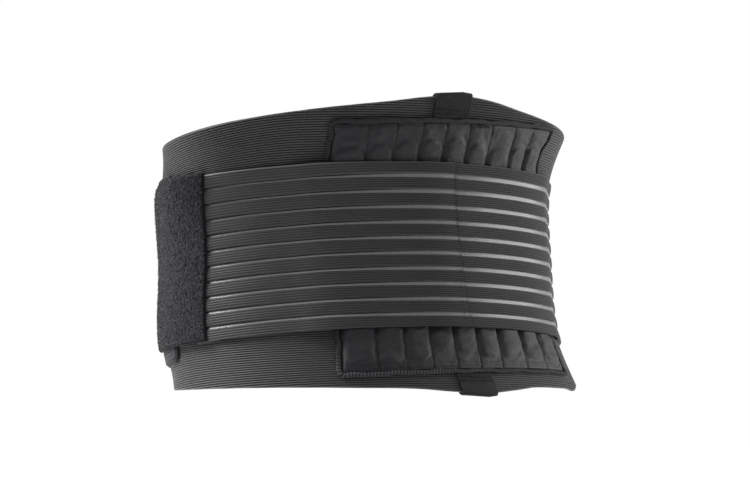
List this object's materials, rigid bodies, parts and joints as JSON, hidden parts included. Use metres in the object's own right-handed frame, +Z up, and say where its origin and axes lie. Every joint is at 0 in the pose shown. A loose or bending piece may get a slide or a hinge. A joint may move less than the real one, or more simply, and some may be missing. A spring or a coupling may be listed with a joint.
{
  "type": "back support brace",
  "caption": "Wide elastic back support belt, worn round the waist, with a padded back panel of upright channels and striped tension bands that end in fleece tabs.",
  "frame": {"origin": "middle of the waist opening, at the middle of the belt's height at the back", "axes": "+Z up the wearer's body, the belt's back towards -Y and its front closure towards +Y, +X to the right seen from the back"},
  "size_m": [0.3258, 0.2494, 0.207],
  "materials": {
    "belt_elastic": "fine horizontal ribs, matt charcoal",
    "pad_cloth": "smooth tight weave with a slight sheen",
    "pad_edging": "overlocked thread",
    "striped_elastic": "dense charcoal rows with sheer grey stripes between them",
    "tab_fleece": "short looped pile",
    "panel_fleece": "short brushed pile",
    "loop_webbing": "narrow woven webbing"
  },
  "bodies": {
    "root": {"main_belt": "belt_elastic", "back_pad": "pad_cloth", "pad_binding": "pad_edging", "tension_band_left": "striped_elastic", "tension_band_right": "striped_elastic", "band_tab_left": "tab_fleece", "band_tab_right": "tab_fleece", "front_panel_left": "panel_fleece", "front_panel_right": "panel_fleece", "top_loop": "loop_webbing", "bottom_loop": "loop_webbing"}
  },
  "joints": []
}
